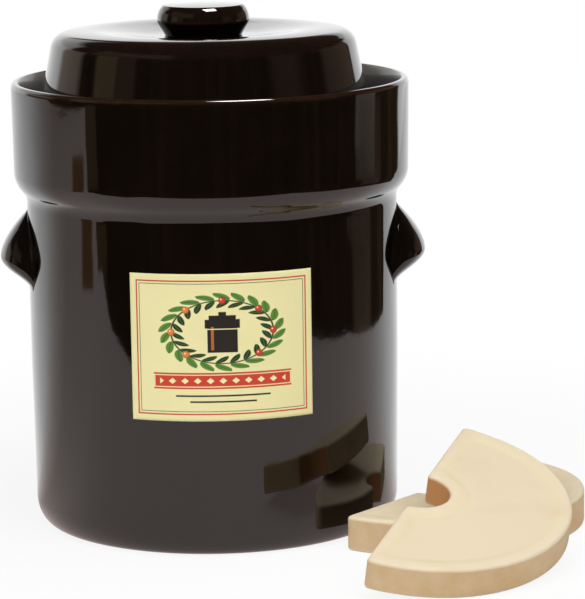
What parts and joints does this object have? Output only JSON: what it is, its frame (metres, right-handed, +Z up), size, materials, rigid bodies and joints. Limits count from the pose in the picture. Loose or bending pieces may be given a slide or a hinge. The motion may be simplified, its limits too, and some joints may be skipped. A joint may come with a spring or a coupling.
{
  "type": "fermentation crock",
  "caption": "Glazed stoneware fermentation crock with side lugs, water-seal collar and skirted lid, and half-disc weight stones beside it.",
  "frame": {"origin": "centre of the pot's flat base, on the plane that pot and stones stand on", "axes": "+Z up along the pot's axis; -Y is the front with the label; the lugs are on +X and -X; the stones stand at the front right"},
  "size_m": [0.3825, 0.3624, 0.3403],
  "materials": {
    "pot_glaze": "glossy dark brown salt-type glaze",
    "lug_glaze": "glossy dark brown glaze",
    "lid_glaze": "glossy dark brown glaze",
    "knob_glaze": "glossy dark brown glaze",
    "label_paper": null,
    "stone_clay": "unglazed cream stoneware, matt"
  },
  "bodies": {
    "crock": {"crock_body": "pot_glaze", "handle_left": "lug_glaze", "handle_right": "lug_glaze", "label": "label_paper"},
    "lid": {"lid": "lid_glaze", "lid_knob": "knob_glaze"},
    "lower_stone": {"weight_stone_lower": "stone_clay"},
    "upper_stone": {"weight_stone_upper": "stone_clay"}
  },
  "joints": [
    {"name": "lid_lift", "type": "slide", "parent": "crock", "child": "lid", "axis": [0, 0, 1], "range_m": [0, 0.15]},
    {"name": "lower_stone_lift", "type": "slide", "parent": "crock", "child": "lower_stone", "axis": [0, 0, 1], "range_m": [0, 0.12]},
    {"name": "upper_stone_lift", "type": "slide", "parent": "lower_stone", "child": "upper_stone", "axis": [0, 0, 1], "range_m": [0, 0.12]}
  ]
}
